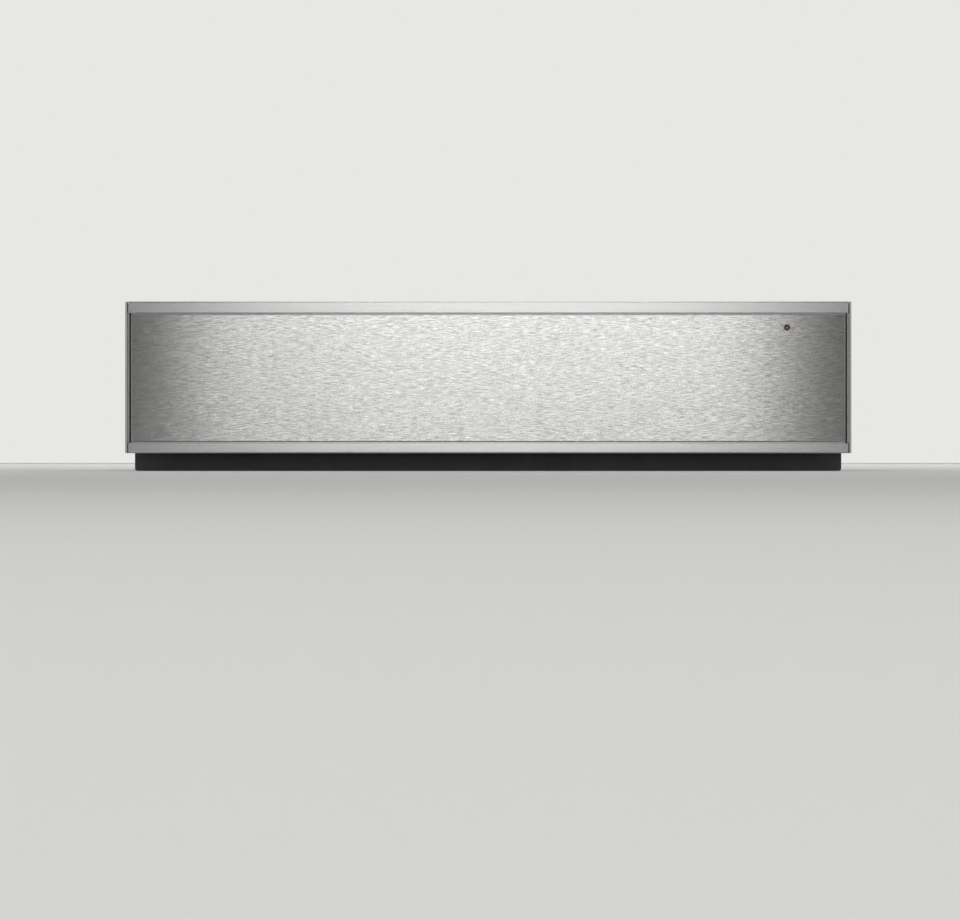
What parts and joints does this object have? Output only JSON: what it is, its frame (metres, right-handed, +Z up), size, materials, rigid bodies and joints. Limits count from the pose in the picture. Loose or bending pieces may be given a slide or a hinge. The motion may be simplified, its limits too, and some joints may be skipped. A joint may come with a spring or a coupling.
{
  "type": "warming drawer",
  "caption": "Built-in push-to-open warming drawer: brushed steel front in aluminium trim, insulated steel well with heated glass base, on full-extension slides in a casing.",
  "frame": {"origin": "middle of the floor area that the whole drawer covers, at the casing's underside", "axes": "+X across the drawer to the right as seen from the front, +Y from front to back, +Z up"},
  "size_m": [0.59, 0.574, 0.138],
  "materials": {
    "galvanised_sheet": "zinc-coated folded sheet",
    "black_flange": "satin black powder coat",
    "brushed_front": "horizontal brush",
    "satin_aluminium": "bead-blasted and anodised",
    "stainless_well": "fine satin stainless",
    "slide_steel": "bright zinc",
    "ball_cage_steel": "yellowish passivated strip, bright balls",
    "mineral_wool": "pressed fibre mat",
    "dark_glass": "black toughened plate",
    "silicone": "satin",
    "buffer_rubber": "matte",
    "screw_steel": "bright zinc",
    "black_plastic": "fine grain",
    "white_plastic": "glass-filled",
    "lamp_ring": "dark reddish ring",
    "lamp_lens": "clear amber, unlit",
    "element_foil": "oxidised strip",
    "knob_metal": "spun satin",
    "motor_steel": "zinc-plated can",
    "fan_alloy": "pressed"
  },
  "bodies": {
    "casing": {"casing_tray": "galvanised_sheet", "casing_rear_wall": "galvanised_sheet", "casing_top_cover": "galvanised_sheet", "mounting_flange": "black_flange", "cavity_ceiling": "stainless_well", "ceiling_insulation": "mineral_wool", "stop_buffers": "buffer_rubber", "casing_screws": "screw_steel", "terminal_block": "white_plastic", "terminal_cover": "black_plastic", "cable_gland": "black_plastic", "rail_fixed_left": "slide_steel", "rail_fixed_right": "slide_steel", "push_latch_left": "black_plastic", "push_latch_right": "black_plastic"},
    "drawer": {"drawer_well": "stainless_well", "drawer_shell": "galvanised_sheet", "well_insulation": "mineral_wool", "base_insulation": "mineral_wool", "base_glass": "dark_glass", "glass_seal": "silicone", "heater_carrier": "galvanised_sheet", "heating_element": "element_foil", "front_carrier": "galvanised_sheet", "front_insulation": "mineral_wool", "front_panel": "brushed_front", "front_top_strip": "satin_aluminium", "front_bottom_strip": "satin_aluminium", "front_screws": "screw_steel", "indicator_bezel": "lamp_ring", "indicator_lens": "lamp_lens", "indicator_lamp": "white_plastic", "control_dish": "black_plastic", "rotary_switch": "black_plastic", "air_duct": "galvanised_sheet", "air_grille": "stainless_well", "fan_motor": "motor_steel", "ring_heater": "element_foil", "safety_thermostat": "white_plastic", "rail_drawer_left": "slide_steel", "latch_striker_left": "black_plastic", "front_side_left": "satin_aluminium", "rail_drawer_right": "slide_steel", "latch_striker_right": "black_plastic", "front_side_right": "satin_aluminium"},
    "rail_middle_left": {"rail_middle_left": "slide_steel"},
    "rail_middle_right": {"rail_middle_right": "slide_steel"},
    "ball_cage_outer_left": {"ball_cage_outer_left": "ball_cage_steel"},
    "ball_cage_outer_right": {"ball_cage_outer_right": "ball_cage_steel"},
    "ball_cage_inner_left": {"ball_cage_inner_left": "ball_cage_steel"},
    "ball_cage_inner_right": {"ball_cage_inner_right": "ball_cage_steel"},
    "selector_knob": {"selector_knob": "knob_metal", "selector_spindle": "screw_steel"},
    "fan_wheel": {"fan_wheel": "fan_alloy", "fan_shaft": "screw_steel"}
  },
  "joints": [
    {"name": "drawer_slide", "type": "slide", "parent": "casing", "child": "drawer", "axis": [0, -1, 0], "range_m": [-0.003, 0.45]},
    {"name": "rail_middle_left_slide", "type": "slide", "parent": "casing", "child": "rail_middle_left", "axis": [0, -1, 0], "range_m": [-0.0015, 0.225]},
    {"name": "rail_middle_right_slide", "type": "slide", "parent": "casing", "child": "rail_middle_right", "axis": [0, -1, 0], "range_m": [-0.0015, 0.225]},
    {"name": "ball_cage_outer_left_slide", "type": "slide", "parent": "casing", "child": "ball_cage_outer_left", "axis": [0, -1, 0], "range_m": [-0.00075, 0.1125]},
    {"name": "ball_cage_outer_right_slide", "type": "slide", "parent": "casing", "child": "ball_cage_outer_right", "axis": [0, -1, 0], "range_m": [-0.00075, 0.1125]},
    {"name": "ball_cage_inner_left_slide", "type": "slide", "parent": "casing", "child": "ball_cage_inner_left", "axis": [0, -1, 0], "range_m": [-0.00225, 0.3375]},
    {"name": "ball_cage_inner_right_slide", "type": "slide", "parent": "casing", "child": "ball_cage_inner_right", "axis": [0, -1, 0], "range_m": [-0.00225, 0.3375]},
    {"name": "selector_turn", "type": "hinge", "parent": "drawer", "child": "selector_knob", "pos_m": [0.24805, -0.205, 0.113], "axis": [0, 0, 1], "range_deg": [0, 240]},
    {"name": "fan_spin", "type": "hinge", "parent": "drawer", "child": "fan_wheel", "pos_m": [0, 0.22, 0.074], "axis": [0, 1, 0], "continuous": true}
  ],
  "couplings": [
    {"joint": "rail_middle_left_slide", "follows": "drawer_slide", "ratio": 0.5},
    {"joint": "rail_middle_right_slide", "follows": "drawer_slide", "ratio": 0.5},
    {"joint": "ball_cage_outer_left_slide", "follows": "drawer_slide", "ratio": 0.25},
    {"joint": "ball_cage_outer_right_slide", "follows": "drawer_slide", "ratio": 0.25},
    {"joint": "ball_cage_inner_left_slide", "follows": "drawer_slide", "ratio": 0.75},
    {"joint": "ball_cage_inner_right_slide", "follows": "drawer_slide", "ratio": 0.75}
  ]
}
